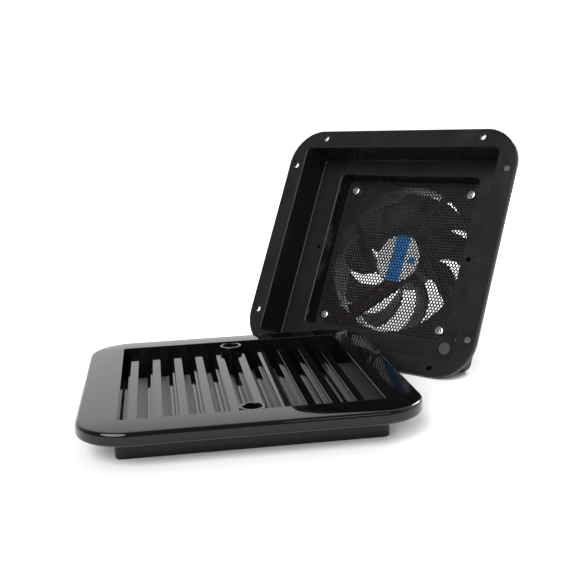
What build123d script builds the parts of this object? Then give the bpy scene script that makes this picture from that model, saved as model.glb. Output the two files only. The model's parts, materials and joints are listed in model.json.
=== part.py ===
"""Vent fan in two halves: a leaning fan housing and its louvred cover lying flat.

All lengths are in millimetres.  +Z is up and the floor is Z = 0.  +X runs
along the cover's front edge and +Y runs away from that edge.  The origin is
the centre of the bottom of the whole set.
"""
import math
import os

from build123d import *

os.makedirs("parts", exist_ok=True)

# ---- where the two halves stand -------------------------------------------
cover_centre_x = -57.900        # middle of the louvred cover
cover_centre_y = -53.789
housing_offset_x = 81.04       # middle of the housing's lower front edge,
housing_offset_y = 75.86       # measured from the middle of the cover
housing_turn = -48.73          # turn of the housing about +Z, degrees
housing_lean = 26.0            # lean back from upright, degrees

# ---- louvred cover -----------------------------------------------------------
rim_width = 192.0
rim_corner_radius = 29.0
rim_thickness = 8.5
rim_top_round = 3.0
rim_bottom_round = 2.0
rim_wall = 4.0
rim_plate = 2.8
collar_height = 13.4
collar_width_x = 151.4
collar_width_y = 155.8
collar_corner_radius = 4.0
louvre_opening_x = 146.6
louvre_opening_y = 151.8
slat_count = 10
slat_pitch = 14.3
slat_first_x = -68.6           # left edge of the first slat's top
slat_top_width = 5.4
slat_top_depth = 4.8           # below the rim's top face
slat_step_depth_1 = 10.0
slat_step_depth_2 = 14.7
slat_bottom_depth = 19.7
slat_step_1_left = -1.7
slat_step_2_left = -4.0
slat_foot_width = 2.6
slat_overlap = 0.5             # slat ends run this far into the collar
cover_boss_offset_y = 68.0     # two screw bosses, one each side of the middle
cover_boss_radius = 7.6
cover_boss_top_depth = 0.7
cover_counterbore_radius = 5.3
cover_counterbore_depth = 12.0
cover_screw_hole_radius = 2.2

# ---- fan housing ---------------------------------------------------------------
flange_width = 200.0
flange_height = 180.0
flange_thickness = 3.5
flange_corner_radius = 28.0
flange_edge_round = 1.0
opening_side_margin = 15.0
opening_top_margin = 14.0
opening_bottom_margin = 12.6
opening_corner_radius = 4.0
tub_wall = 2.0
ledge_depth = 26.0             # flange front to ledge front
ledge_thickness = 2.5
tub_back_round = 4.3
fan_centre_u = -2.0            # fan axis, along the flange and up the flange
fan_centre_v = 90.9
recess_width = 124.4
recess_corner_radius = 3.5
recess_wall = 2.0
recess_depth = 12.7            # ledge front to fan seat front
seat_thickness = 1.5
seat_opening_radius = 59.0
top_hole_u = 69.5              # flange screw holes on the top and bottom edges
top_hole_v = 84.0              # measured from the flange's middle
side_hole_u = 93.3             # flange screw holes on the side edges
side_hole_v = 61.0
flange_hole_radius = 2.2
flange_seat_radius = 4.6
flange_seat_depth = 0.7
pilot_offset_u = 68.0          # cover screw pilots in the ledge
pilot_radius = 1.5
pilot_boss_radius = 4.0        # blind screw bosses behind the ledge
pilot_boss_length = 9.0
pilot_depth = 9.5
plug_u = 64.0
plug_v = 24.6
plug_hole_radius = 3.0
plug_cap_radius = 4.5
plug_cap_height = 0.9
plug_cap_round = 0.5
plug_barb_radius = 3.6
vent_hole_u = 71.5
vent_hole_v = 32.3
vent_hole_radius = 1.3

# ---- mesh guard and screws -----------------------------------------------------
guard_width = 123.8
guard_corner_radius = 8.4
guard_thickness = 1.0
guard_hole_pitch = 5.2
guard_hole_radius = 2.0
guard_border = 2.4
guard_screw_clear = 6.4
fan_screw_offset = 52.5        # fan screws sit at +- this from the fan axis
guard_screw_hole_radius = 2.2
screw_head_radius = 3.5
screw_head_height = 2.3
screw_head_round = 1.1
screw_shank_radius = 1.95
screw_length = 11.0
screw_cross_length = 4.0
screw_cross_width = 0.9
screw_cross_depth = 1.2
screw_cross_turn = 20.0

# ---- fan -------------------------------------------------------------------------
fan_width = 120.0
fan_depth = 25.0
fan_corner_radius = 5.0
fan_flange_thickness = 4.0
fan_bore_radius = 58.2
fan_ring_wall = 1.5
fan_flare_depth = 20.0         # the bore widens from here to the back
fan_flare_radius = 59.0
fan_hole_radius = 2.15
strut_count = 4
strut_first_angle = 40.4       # seen from the front, anticlockwise from +u
strut_offset = 19.25           # each strut passes the axis at this distance
strut_width = 4.3
lead_strut_width = 12.4        # the third strut is wider and carries the leads
lead_strut_offset = 15.2
strut_front = 0.4              # depths below here count from the fan's front
strut_back = 4.0
motor_base_radius = 19.8
motor_base_front = 0.4
motor_base_back = 3.4
bearing_tube_radius = 5.2
bearing_tube_bore = 4.0
bearing_tube_front = 2.0
bearing_tube_back = 17.5
lead_channel_width = 4.2
lead_channel_depth = 2.2
lead_angle = 224.3             # the leads lie a little across their strut
lead_offset = 13.0             # they pass the axis at this distance
lead_start = 2.0               # along the leads, from the point nearest the axis
lead_entry_hole_radius = 2.1
lead_channel_end = 78.0
label_radius = 18.9
label_front = 0.1
label_back = 0.4
board_front = 4.7
board_back = 5.7
board_inner_radius = 5.3
board_outer_radius = 15.6
stator_front = 8.5
stator_back = 15.5
stator_bore = 6.0
stator_hub_radius = 8.0
stator_arm_width = 4.0
stator_shoe_inner = 12.5
stator_shoe_radius = 14.4
stator_shoe_half_angle = 33.0
stator_pole_count = 4
stator_arm_overlap = 0.5        # arms run this far into their shoes
insulator_thickness = 0.8
insulator_arm_width = 5.0
insulator_radius = 14.1
insulator_half_angle = 31.0
coil_inner_radius = 8.5
coil_outer_radius = 11.6
coil_inner_width = 5.3
coil_inner_height = 8.9
coil_wall = 1.5
coil_corner_radius = 1.4
bearing_length = 4.0
front_bearing_front = 5.0
rear_bearing_front = 13.2
bearing_outer_radius = 4.0
shaft_radius = 1.5
running_clearance = 0.05
shaft_front = 3.6
shaft_back = 23.2
groove_front = 4.15
groove_back = 4.65
groove_radius = 1.2
clip_radius = 2.8
clip_gap = 1.6
washer_front = 17.6
washer_back = 18.1
washer_radius = 3.2
hub_radius = 19.4
hub_inner_radius = 18.05
hub_front = 4.3
hub_back = 24.3
hub_end_thickness = 2.0
hub_edge_round = 1.2
hub_boss_radius = 3.6
hub_boss_front = 19.0
yoke_inner_radius = 17.1
yoke_outer_radius = 18.0
yoke_front = 5.5
yoke_back = 21.8
magnet_inner_radius = 15.0
magnet_front = 6.5
magnet_back = 18.5
blade_count = 9
blade_tip_radius = 56.0
blade_root_radius = 18.7
blade_front = 6.3
blade_back = 19.3
blade_thickness = 1.6
blade_first_angle = 287.2      # front edge of the first blade at the hub
blade_lead = 4.5               # angle gained in proportion to the height above the hub
blade_sweep = 32.9             # angle lost with the square of that height
blade_reach = 38.0             # height above the hub at which the two above are full
blade_wrap = 31.0              # angle lost from front edge to back edge
blade_section_radii = (16.5, 27.0, 38.0, 48.0, 59.5)
lead_radius = 0.85
lead_spacing = 1.9
lead_centre_depth = 1.3
lead_end = 73.5
lead_bend_radius = 1.0

# ---- derived places ----------------------------------------------------------------
seat_depth = ledge_depth + recess_depth
fan_front_depth = seat_depth + seat_thickness
cover_height = collar_height + rim_thickness
opening_width = flange_width - 2 * opening_side_margin
opening_height = flange_height - opening_top_margin - opening_bottom_margin
opening_middle_v = opening_bottom_margin + opening_height / 2
tub_depth = ledge_depth + ledge_thickness
guard_front = -(seat_thickness + guard_thickness)
blade_middle_depth = (blade_front + blade_back) / 2
blade_axial_length = blade_back - blade_front
lead_strut_angle = strut_first_angle + 180.0
strut_length = math.sqrt((fan_bore_radius + fan_ring_wall / 2) ** 2 - strut_offset**2)

turn = math.radians(housing_turn)
lean = math.radians(housing_lean)
along_flange = Vector(math.cos(turn), math.sin(turn), 0)
away = Vector(-math.sin(turn), math.cos(turn), 0)
up_flange = away * math.sin(lean) + Vector(0, 0, math.cos(lean))
out_of_flange = away * -math.cos(lean) + Vector(0, 0, math.sin(lean))
housing_origin = Vector(
    cover_centre_x + housing_offset_x,
    cover_centre_y + housing_offset_y,
    flange_thickness * math.sin(lean),
)
housing_plane = Plane(origin=housing_origin, x_dir=along_flange, z_dir=out_of_flange)
fan_origin = (
    housing_origin
    + along_flange * fan_centre_u
    + up_flange * fan_centre_v
    - out_of_flange * fan_front_depth
)
fan_plane = Plane(origin=fan_origin, x_dir=along_flange, z_dir=out_of_flange)


def housing_level(depth):
    """Plane parallel to the flange, this far behind its front face."""
    return housing_plane.offset(-depth)


def fan_level(depth):
    """Plane across the fan axis, this far behind the fan's front face."""
    return fan_plane.offset(-depth)


def cover_level(height):
    """Horizontal plane through the cover's middle, this far above the floor."""
    return Plane(origin=(cover_centre_x, cover_centre_y, height))


def disc(radius, front, back, mode=Mode.ADD):
    """Round slab about the fan axis between two depths."""
    with BuildSketch(fan_level(back)) as face:
        Circle(radius)
    extrude(face.sketch, amount=back - front, mode=mode)


def fan_screw_places():
    """The four screw places around the fan axis."""
    return [
        (side * fan_screw_offset, level * fan_screw_offset)
        for side in (-1, 1)
        for level in (-1, 1)
    ]


def flange_hole_places():
    """The eight screw places in the flange, from the flange's middle."""
    places = []
    for side in (-1, 1):
        for level in (-1, 1):
            places.append((side * top_hole_u, level * top_hole_v))
            places.append((side * side_hole_u, level * side_hole_v))
    return places


# ---- louvred cover: rim, collar, slats and bosses in one moulding -------------------
def slat_outline(left):
    """Stepped cross-section of one slat; left is the left edge of its top."""
    top = cover_height - slat_top_depth
    step_1 = cover_height - slat_step_depth_1
    step_2 = cover_height - slat_step_depth_2
    bottom = cover_height - slat_bottom_depth
    return [
        (left, top),
        (left + slat_top_width, top),
        (left + slat_step_2_left + slat_foot_width, bottom),
        (left + slat_step_2_left, bottom),
        (left + slat_step_2_left, step_2),
        (left + slat_step_1_left, step_2),
        (left + slat_step_1_left, step_1),
        (left, step_1),
    ]


slat_reach = louvre_opening_y / 2 + slat_overlap
slat_plane = Plane(
    origin=(cover_centre_x, cover_centre_y + slat_reach, 0),
    x_dir=(1, 0, 0),
    z_dir=(0, -1, 0),
)
boss_places = [(0, -cover_boss_offset_y), (0, cover_boss_offset_y)]
boss_top = cover_height - cover_boss_top_depth
boss_bottom = cover_height - slat_bottom_depth

with BuildPart() as louvre_cover:
    with BuildSketch(cover_level(collar_height)):
        RectangleRounded(rim_width, rim_width, rim_corner_radius)
    extrude(amount=rim_thickness)
    fillet(louvre_cover.edges().group_by(Axis.Z)[-1], rim_top_round)
    fillet(louvre_cover.edges().group_by(Axis.Z)[0], rim_bottom_round)
    with BuildSketch(cover_level(collar_height)):
        RectangleRounded(
            rim_width - 2 * rim_wall,
            rim_width - 2 * rim_wall,
            rim_corner_radius - rim_wall,
        )
    extrude(amount=rim_thickness - rim_plate, mode=Mode.SUBTRACT)
    with BuildSketch(cover_level(0)):
        RectangleRounded(collar_width_x, collar_width_y, collar_corner_radius)
    extrude(amount=cover_height - rim_plate / 2)
    with BuildSketch(cover_level(0)):
        Rectangle(louvre_opening_x, louvre_opening_y)
    extrude(amount=cover_height, mode=Mode.SUBTRACT)
    for index in range(slat_count):
        with BuildSketch(slat_plane):
            with BuildLine():
                Polyline(slat_outline(slat_first_x + index * slat_pitch), close=True)
            make_face()
        extrude(amount=2 * slat_reach)
    with BuildSketch(cover_level(boss_bottom)):
        with Locations(*boss_places):
            Circle(cover_boss_radius)
    extrude(amount=boss_top - boss_bottom)
    with BuildSketch(cover_level(boss_top)):
        with Locations(*boss_places):
            Circle(cover_counterbore_radius)
    extrude(amount=-cover_counterbore_depth, mode=Mode.SUBTRACT)
    with BuildSketch(cover_level(boss_bottom)):
        with Locations(*boss_places):
            Circle(cover_screw_hole_radius)
    extrude(amount=boss_top - boss_bottom, mode=Mode.SUBTRACT)
louvre_cover.part.label = "louvre_cover"
export_step(louvre_cover.part, "parts/louvre_cover.step")

# ---- fan housing: flange, tub, ledge, recess and fan seat in one moulding -----------
pilot_places = [
    (fan_centre_u - pilot_offset_u, fan_centre_v),
    (fan_centre_u + pilot_offset_u, fan_centre_v),
]
with BuildPart() as housing_casing:
    with BuildSketch(housing_level(tub_depth)):
        with Locations((0, opening_middle_v)):
            RectangleRounded(
                opening_width + 2 * tub_wall,
                opening_height + 2 * tub_wall,
                opening_corner_radius + tub_wall,
            )
    extrude(amount=tub_depth)
    tub_back_edges = housing_casing.edges().group_by(Axis((0, 0, 0), out_of_flange))[0]
    fillet(tub_back_edges, tub_back_round)
    with BuildSketch(housing_level(flange_thickness)):
        with Locations((0, flange_height / 2)):
            RectangleRounded(flange_width, flange_height, flange_corner_radius)
    extrude(amount=flange_thickness)
    flange_front_edges = housing_casing.edges().group_by(Axis((0, 0, 0), out_of_flange))[-1]
    fillet(flange_front_edges, flange_edge_round)
    with BuildSketch(housing_level(ledge_depth)):
        with Locations((0, opening_middle_v)):
            RectangleRounded(opening_width, opening_height, opening_corner_radius)
    extrude(amount=ledge_depth, mode=Mode.SUBTRACT)
    with BuildSketch(fan_level(0)):
        RectangleRounded(
            recess_width + 2 * recess_wall,
            recess_width + 2 * recess_wall,
            recess_corner_radius + recess_wall,
        )
    extrude(amount=fan_front_depth - ledge_depth - ledge_thickness / 2)
    with BuildSketch(housing_level(seat_depth)):
        with Locations((fan_centre_u, fan_centre_v)):
            RectangleRounded(recess_width, recess_width, recess_corner_radius)
    extrude(amount=recess_depth, mode=Mode.SUBTRACT)
    with BuildSketch(fan_level(0)):
        Circle(seat_opening_radius)
        with Locations(*fan_screw_places()):
            Circle(guard_screw_hole_radius)
    extrude(amount=seat_thickness, mode=Mode.SUBTRACT)
    with BuildSketch(housing_level(flange_thickness)):
        with Locations((0, flange_height / 2)):
            with Locations(*flange_hole_places()):
                Circle(flange_hole_radius)
    extrude(amount=flange_thickness, mode=Mode.SUBTRACT)
    with BuildSketch(housing_level(0)):
        with Locations((0, flange_height / 2)):
            with Locations(*flange_hole_places()):
                Circle(flange_seat_radius)
    extrude(amount=-flange_seat_depth, mode=Mode.SUBTRACT)
    with BuildSketch(housing_level(tub_depth)):
        with Locations(*pilot_places):
            Circle(pilot_boss_radius)
    extrude(amount=-pilot_boss_length)
    with BuildSketch(housing_level(ledge_depth)):
        with Locations(*pilot_places):
            Circle(pilot_radius)
    extrude(amount=-pilot_depth, mode=Mode.SUBTRACT)
    with BuildSketch(housing_level(tub_depth)):
        with Locations((plug_u, plug_v)):
            Circle(plug_hole_radius)
        with Locations((vent_hole_u, vent_hole_v)):
            Circle(vent_hole_radius)
    extrude(amount=ledge_thickness, mode=Mode.SUBTRACT)
housing_casing.part.label = "housing_casing"
export_step(housing_casing.part, "parts/housing_casing.step")

# ---- rubber plug in the ledge ---------------------------------------------------------
with BuildPart() as ledge_plug:
    with BuildSketch(housing_level(ledge_depth)):
        with Locations((plug_u, plug_v)):
            Circle(plug_cap_radius)
    extrude(amount=plug_cap_height)
    fillet(ledge_plug.edges().group_by(Axis((0, 0, 0), out_of_flange))[-1], plug_cap_round)
    with BuildSketch(housing_level(ledge_depth)):
        with Locations((plug_u, plug_v)):
            Circle(plug_hole_radius - running_clearance)
    extrude(amount=-ledge_thickness)
    with BuildSketch(housing_level(tub_depth)):
        with Locations((plug_u, plug_v)):
            Circle(plug_barb_radius)
    extrude(amount=-plug_cap_height)
ledge_plug.part.label = "ledge_plug"
export_step(ledge_plug.part, "parts/ledge_plug.step")


# ---- perforated mesh guard ---------------------------------------------------------------
def guard_hole_places():
    """Centres of the round perforations, staggered row by row."""
    row_step = guard_hole_pitch * math.sqrt(3) / 2
    reach = guard_width / 2 - guard_border - guard_hole_radius
    rows = int(reach // row_step)
    columns = int(reach // guard_hole_pitch) + 1
    corner = reach - guard_corner_radius + guard_border
    places = []
    for row in range(-rows, rows + 1):
        shift = guard_hole_pitch / 2 if row % 2 else 0.0
        for column in range(-columns, columns + 1):
            x = column * guard_hole_pitch + shift
            y = row * row_step
            if abs(x) > reach:
                continue
            if abs(x) > corner and abs(y) > corner:
                continue
            near = min(math.hypot(x - sx, y - sy) for sx, sy in fan_screw_places())
            if near < guard_screw_clear:
                continue
            places.append((x, y))
    return places


with BuildPart() as mesh_guard:
    with BuildSketch(fan_level(-seat_thickness)):
        RectangleRounded(guard_width, guard_width, guard_corner_radius)
        with Locations(*guard_hole_places()):
            Circle(guard_hole_radius, mode=Mode.SUBTRACT)
        with Locations(*fan_screw_places()):
            Circle(guard_screw_hole_radius, mode=Mode.SUBTRACT)
    extrude(amount=guard_thickness)
mesh_guard.part.label = "mesh_guard"
export_step(mesh_guard.part, "parts/mesh_guard.step")

# ---- four identical screws through guard, seat and fan ------------------------------------
with BuildPart() as guard_screws:
    with BuildSketch(fan_level(guard_front)):
        with Locations(*fan_screw_places()):
            Circle(screw_head_radius)
    extrude(amount=screw_head_height)
    fillet(guard_screws.edges().group_by(Axis((0, 0, 0), out_of_flange))[-1], screw_head_round)
    with BuildSketch(fan_level(guard_front)):
        with Locations(*fan_screw_places()):
            Circle(screw_shank_radius)
    extrude(amount=-screw_length)
    with BuildSketch(fan_level(guard_front - screw_head_height)):
        with Locations(*fan_screw_places()):
            Rectangle(screw_cross_length, screw_cross_width, rotation=screw_cross_turn)
            Rectangle(screw_cross_width, screw_cross_length, rotation=screw_cross_turn)
    extrude(amount=-screw_cross_depth, mode=Mode.SUBTRACT)
guard_screws.part.label = "guard_screws"
export_step(guard_screws.part, "parts/guard_screws.step")


# ---- fan frame: square flanges, ring, struts, motor base and bearing tube -------------------
def beside_axis(angle, distance, offset):
    """Place at a distance along a direction, on a line that passes the axis at an offset."""
    turned = math.radians(angle)
    x = distance * math.cos(turned) - offset * math.sin(turned)
    y = distance * math.sin(turned) + offset * math.cos(turned)
    return x, y


def strut(angle, offset, width):
    """One strut in the current sketch, from beside the axis out to the ring."""
    with Locations(beside_axis(angle, strut_length / 2, offset)):
        Rectangle(strut_length, width, rotation=angle)


with BuildPart() as fan_frame:
    for back in (fan_flange_thickness, fan_depth):
        with BuildSketch(fan_level(back)):
            RectangleRounded(fan_width, fan_width, fan_corner_radius)
            with Locations(*fan_screw_places()):
                Circle(fan_hole_radius, mode=Mode.SUBTRACT)
        extrude(amount=fan_flange_thickness)
    disc(fan_bore_radius + fan_ring_wall, 0, fan_depth)
    disc(fan_bore_radius, 0, fan_depth, mode=Mode.SUBTRACT)
    with BuildSketch(fan_level(fan_flare_depth)):
        Circle(fan_bore_radius)
    with BuildSketch(fan_level(fan_depth)):
        Circle(fan_flare_radius)
    loft(mode=Mode.SUBTRACT)
    with BuildSketch(fan_level(strut_back)):
        for index in range(strut_count):
            strut(strut_first_angle + 360.0 / strut_count * index, strut_offset, strut_width)
        strut(lead_strut_angle, lead_strut_offset, lead_strut_width)
    extrude(amount=strut_back - strut_front)
    disc(motor_base_radius, motor_base_front, motor_base_back)
    disc(bearing_tube_radius, motor_base_front, bearing_tube_back)
    disc(bearing_tube_bore, bearing_tube_front, bearing_tube_back, mode=Mode.SUBTRACT)
    channel_length = lead_channel_end - lead_start
    channel_middle = beside_axis(lead_angle, lead_start + channel_length / 2, lead_offset)
    with BuildSketch(fan_level(lead_channel_depth)):
        with Locations(channel_middle):
            Rectangle(channel_length, lead_channel_width, rotation=lead_angle)
    extrude(amount=lead_channel_depth, mode=Mode.SUBTRACT)
    with BuildSketch(fan_level(strut_back)):
        with Locations(beside_axis(lead_angle, lead_start, lead_offset)):
            Circle(lead_entry_hole_radius)
    extrude(amount=strut_back, mode=Mode.SUBTRACT)
fan_frame.part.label = "fan_frame"
export_step(fan_frame.part, "parts/fan_frame.step")

# ---- paper label on the motor base -----------------------------------------------------------
with BuildPart() as hub_label:
    disc(label_radius, label_front, label_back)
hub_label.part.label = "hub_label"
export_step(hub_label.part, "parts/hub_label.step")

# ---- motor circuit board --------------------------------------------------------------------
with BuildPart() as circuit_board:
    disc(board_outer_radius, board_front, board_back)
    disc(board_inner_radius, board_front, board_back, mode=Mode.SUBTRACT)
circuit_board.part.label = "circuit_board"
export_step(circuit_board.part, "parts/circuit_board.step")


# ---- stator: steel core, plastic insulator and four coils -----------------------------------
def pole_star(hub, arm_width, shoe_inner, shoe_outer, half_angle):
    """Star of arms with curved shoes, drawn in the current sketch."""
    Circle(hub)
    arm_length = shoe_inner + stator_arm_overlap
    with PolarLocations(arm_length / 2, stator_pole_count):
        Rectangle(arm_length, arm_width)
    for pole in range(stator_pole_count):
        middle = 360.0 / stator_pole_count * pole
        low = math.radians(middle - half_angle)
        high = math.radians(middle + half_angle)
        centre = math.radians(middle)
        with BuildLine() as shoe:
            ThreePointArc(
                (shoe_outer * math.cos(low), shoe_outer * math.sin(low)),
                (shoe_outer * math.cos(centre), shoe_outer * math.sin(centre)),
                (shoe_outer * math.cos(high), shoe_outer * math.sin(high)),
            )
            Line(
                (shoe_outer * math.cos(high), shoe_outer * math.sin(high)),
                (shoe_inner * math.cos(high), shoe_inner * math.sin(high)),
            )
            ThreePointArc(
                (shoe_inner * math.cos(high), shoe_inner * math.sin(high)),
                (shoe_inner * math.cos(centre), shoe_inner * math.sin(centre)),
                (shoe_inner * math.cos(low), shoe_inner * math.sin(low)),
            )
            Line(
                (shoe_inner * math.cos(low), shoe_inner * math.sin(low)),
                (shoe_outer * math.cos(low), shoe_outer * math.sin(low)),
            )
        make_face(shoe.edges())


with BuildPart() as stator_core:
    with BuildSketch(fan_level(stator_back)):
        pole_star(
            stator_hub_radius,
            stator_arm_width,
            stator_shoe_inner,
            stator_shoe_radius,
            stator_shoe_half_angle,
        )
        Circle(stator_bore, mode=Mode.SUBTRACT)
    extrude(amount=stator_back - stator_front)
stator_core.part.label = "stator_core"
export_step(stator_core.part, "parts/stator_core.step")

with BuildPart() as stator_insulator:
    for back in (stator_front, stator_back + insulator_thickness):
        with BuildSketch(fan_level(back)):
            pole_star(
                stator_hub_radius,
                insulator_arm_width,
                stator_shoe_inner,
                insulator_radius,
                insulator_half_angle,
            )
        extrude(amount=insulator_thickness)
    disc(stator_bore, stator_front, stator_back)
    disc(
        bearing_tube_radius,
        stator_front - insulator_thickness,
        stator_back + insulator_thickness,
        mode=Mode.SUBTRACT,
    )
stator_insulator.part.label = "stator_insulator"
export_step(stator_insulator.part, "parts/stator_insulator.step")

coil_middle_depth = (stator_front + stator_back) / 2
coil_outer_height = coil_inner_height + 2 * coil_wall
with BuildPart() as stator_coils:
    for pole in range(stator_pole_count):
        angle = math.radians(360.0 / stator_pole_count * pole)
        radial = along_flange * math.cos(angle) + up_flange * math.sin(angle)
        sideways = along_flange * -math.sin(angle) + up_flange * math.cos(angle)
        coil_plane = Plane(
            origin=fan_origin + radial * coil_inner_radius - out_of_flange * coil_middle_depth,
            x_dir=sideways,
            z_dir=radial,
        )
        with BuildSketch(coil_plane):
            RectangleRounded(coil_inner_width + 2 * coil_wall, coil_outer_height, coil_corner_radius)
            Rectangle(coil_inner_width, coil_inner_height, mode=Mode.SUBTRACT)
        extrude(amount=coil_outer_radius - coil_inner_radius)
stator_coils.part.label = "stator_coils"
export_step(stator_coils.part, "parts/stator_coils.step")

# ---- bearings and thrust washer -------------------------------------------------------------
with BuildPart() as bearing_front:
    disc(bearing_outer_radius, front_bearing_front, front_bearing_front + bearing_length)
    disc(
        shaft_radius + running_clearance,
        front_bearing_front,
        front_bearing_front + bearing_length,
        mode=Mode.SUBTRACT,
    )
bearing_front.part.label = "bearing_front"
export_step(bearing_front.part, "parts/bearing_front.step")

with BuildPart() as bearing_rear:
    disc(bearing_outer_radius, rear_bearing_front, rear_bearing_front + bearing_length)
    disc(
        shaft_radius + running_clearance,
        rear_bearing_front,
        rear_bearing_front + bearing_length,
        mode=Mode.SUBTRACT,
    )
bearing_rear.part.label = "bearing_rear"
export_step(bearing_rear.part, "parts/bearing_rear.step")

with BuildPart() as thrust_washer:
    disc(washer_radius, washer_front, washer_back)
    disc(shaft_radius + running_clearance, washer_front, washer_back, mode=Mode.SUBTRACT)
thrust_washer.part.label = "thrust_washer"
export_step(thrust_washer.part, "parts/thrust_washer.step")


# ---- impeller: hub cup with swept blades ------------------------------------------------------
def blade_section(radius):
    """Plane across one blade at this radius, and the blade's width around the axis there."""
    height = (radius - hub_radius) / blade_reach
    bend = blade_lead * height - blade_sweep * height**2
    angle = math.radians(blade_first_angle - blade_wrap / 2 + bend)
    radial = along_flange * math.cos(angle) + up_flange * math.sin(angle)
    sideways = along_flange * -math.sin(angle) + up_flange * math.cos(angle)
    origin = fan_origin + radial * radius - out_of_flange * blade_middle_depth
    width = radius * math.radians(blade_wrap)
    return Plane(origin=origin, x_dir=sideways, z_dir=radial), width


with BuildPart() as blade:
    for radius in blade_section_radii:
        plane, width = blade_section(radius)
        slope = math.degrees(math.atan2(blade_axial_length, width))
        with BuildSketch(plane):
            chord = math.hypot(blade_axial_length, width)
            Rectangle(chord, blade_thickness, rotation=slope)
    loft()
    disc(blade_tip_radius, 0, fan_depth, mode=Mode.INTERSECT)
    disc(blade_root_radius, 0, fan_depth, mode=Mode.SUBTRACT)

with BuildPart() as impeller:
    disc(hub_radius, hub_front, hub_back)
    fillet(impeller.edges().group_by(Axis((0, 0, 0), out_of_flange))[0], hub_edge_round)
    disc(hub_inner_radius, hub_front, hub_back - hub_end_thickness, mode=Mode.SUBTRACT)
    disc(hub_boss_radius, hub_boss_front, hub_back - hub_end_thickness)
    for index in range(blade_count):
        turned = blade.part.rotate(Axis(fan_origin, out_of_flange), 360.0 / blade_count * index)
        add(turned)
    disc(shaft_radius, hub_boss_front, shaft_back, mode=Mode.SUBTRACT)
impeller.part.label = "impeller"
export_step(impeller.part, "parts/impeller.step")

# ---- rotor: yoke, magnet, shaft and retaining clip ---------------------------------------------
with BuildPart() as rotor_yoke:
    disc(yoke_outer_radius, yoke_front, yoke_back)
    disc(yoke_inner_radius, yoke_front, yoke_back, mode=Mode.SUBTRACT)
rotor_yoke.part.label = "rotor_yoke"
export_step(rotor_yoke.part, "parts/rotor_yoke.step")

with BuildPart() as rotor_magnet:
    disc(yoke_inner_radius, magnet_front, magnet_back)
    disc(magnet_inner_radius, magnet_front, magnet_back, mode=Mode.SUBTRACT)
rotor_magnet.part.label = "rotor_magnet"
export_step(rotor_magnet.part, "parts/rotor_magnet.step")

with BuildPart() as rotor_shaft:
    disc(shaft_radius, shaft_front, shaft_back)
    with BuildSketch(fan_level(groove_back)):
        Circle(shaft_radius)
        Circle(groove_radius, mode=Mode.SUBTRACT)
    extrude(amount=groove_back - groove_front, mode=Mode.SUBTRACT)
rotor_shaft.part.label = "rotor_shaft"
export_step(rotor_shaft.part, "parts/rotor_shaft.step")

with BuildPart() as retaining_clip:
    with BuildSketch(fan_level(groove_back - running_clearance)):
        Circle(clip_radius)
        Circle(groove_radius, mode=Mode.SUBTRACT)
        with Locations((clip_radius, 0)):
            Rectangle(2 * clip_radius, clip_gap, mode=Mode.SUBTRACT)
    extrude(amount=groove_back - groove_front - 2 * running_clearance)
retaining_clip.part.label = "retaining_clip"
export_step(retaining_clip.part, "parts/retaining_clip.step")


# ---- two motor leads lying in the strut channel -------------------------------------------------
def lead_point(distance, side, depth):
    """Point on a lead: along the channel, to one side of it, at a depth."""
    x, y = beside_axis(lead_angle, distance, lead_offset + side)
    return fan_origin + along_flange * x + up_flange * y - out_of_flange * depth


def lead_ends(side):
    """The lead's corner points, from its cut end to the circuit board."""
    return [
        lead_point(lead_end, side, lead_centre_depth),
        lead_point(lead_start, side, lead_centre_depth),
        lead_point(lead_start, side, board_front - running_clearance),
    ]


lead_direction = (lead_ends(0)[1] - lead_ends(0)[0]).normalized()

with BuildPart() as lead_red:
    with BuildLine():
        FilletPolyline(*lead_ends(-lead_spacing / 2), radius=lead_bend_radius)
    with BuildSketch(Plane(origin=lead_ends(-lead_spacing / 2)[0], z_dir=lead_direction)):
        Circle(lead_radius)
    sweep()
lead_red.part.label = "lead_red"
export_step(lead_red.part, "parts/lead_red.step")

with BuildPart() as lead_black:
    with BuildLine():
        FilletPolyline(*lead_ends(lead_spacing / 2), radius=lead_bend_radius)
    with BuildSketch(Plane(origin=lead_ends(lead_spacing / 2)[0], z_dir=lead_direction)):
        Circle(lead_radius)
    sweep()
lead_black.part.label = "lead_black"
export_step(lead_black.part, "parts/lead_black.step")
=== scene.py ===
"""Looks for the vent fan: a leaning fan housing and its louvred cover, in a plain white studio.

Shapes are drawn in millimetres in three local frames, the cover's, the housing's
and the fan's, and are turned into metres in the row frame when a piece is made.
In the housing's and the fan's frames x runs along the flange, y up the flange
and z out of it towards the open side, so a depth is minus z.
"""

import json
import math

import bmesh
import bpy
import numpy as np
from mathutils import Matrix, Vector


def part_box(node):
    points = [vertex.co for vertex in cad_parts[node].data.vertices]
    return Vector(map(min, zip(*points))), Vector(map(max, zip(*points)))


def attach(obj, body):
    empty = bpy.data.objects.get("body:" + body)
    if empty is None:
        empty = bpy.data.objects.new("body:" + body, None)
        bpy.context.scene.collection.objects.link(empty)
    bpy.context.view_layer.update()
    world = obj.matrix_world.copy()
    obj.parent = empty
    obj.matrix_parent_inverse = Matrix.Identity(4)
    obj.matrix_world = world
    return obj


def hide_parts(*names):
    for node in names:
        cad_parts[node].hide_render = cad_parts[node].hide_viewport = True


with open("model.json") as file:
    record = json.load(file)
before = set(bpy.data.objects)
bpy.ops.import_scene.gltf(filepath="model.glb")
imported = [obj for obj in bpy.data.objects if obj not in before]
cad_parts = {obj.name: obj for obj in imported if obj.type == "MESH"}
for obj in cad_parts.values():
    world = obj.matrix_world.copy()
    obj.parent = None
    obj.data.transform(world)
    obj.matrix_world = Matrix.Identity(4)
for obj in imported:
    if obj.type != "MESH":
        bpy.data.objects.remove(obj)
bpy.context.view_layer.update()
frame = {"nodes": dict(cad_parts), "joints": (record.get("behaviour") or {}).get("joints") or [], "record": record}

# ---- louvred cover, in millimetres ---------------------------------------------------
cover_height = 21.9
collar_height = 13.4
rim_half = 96.0
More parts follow.
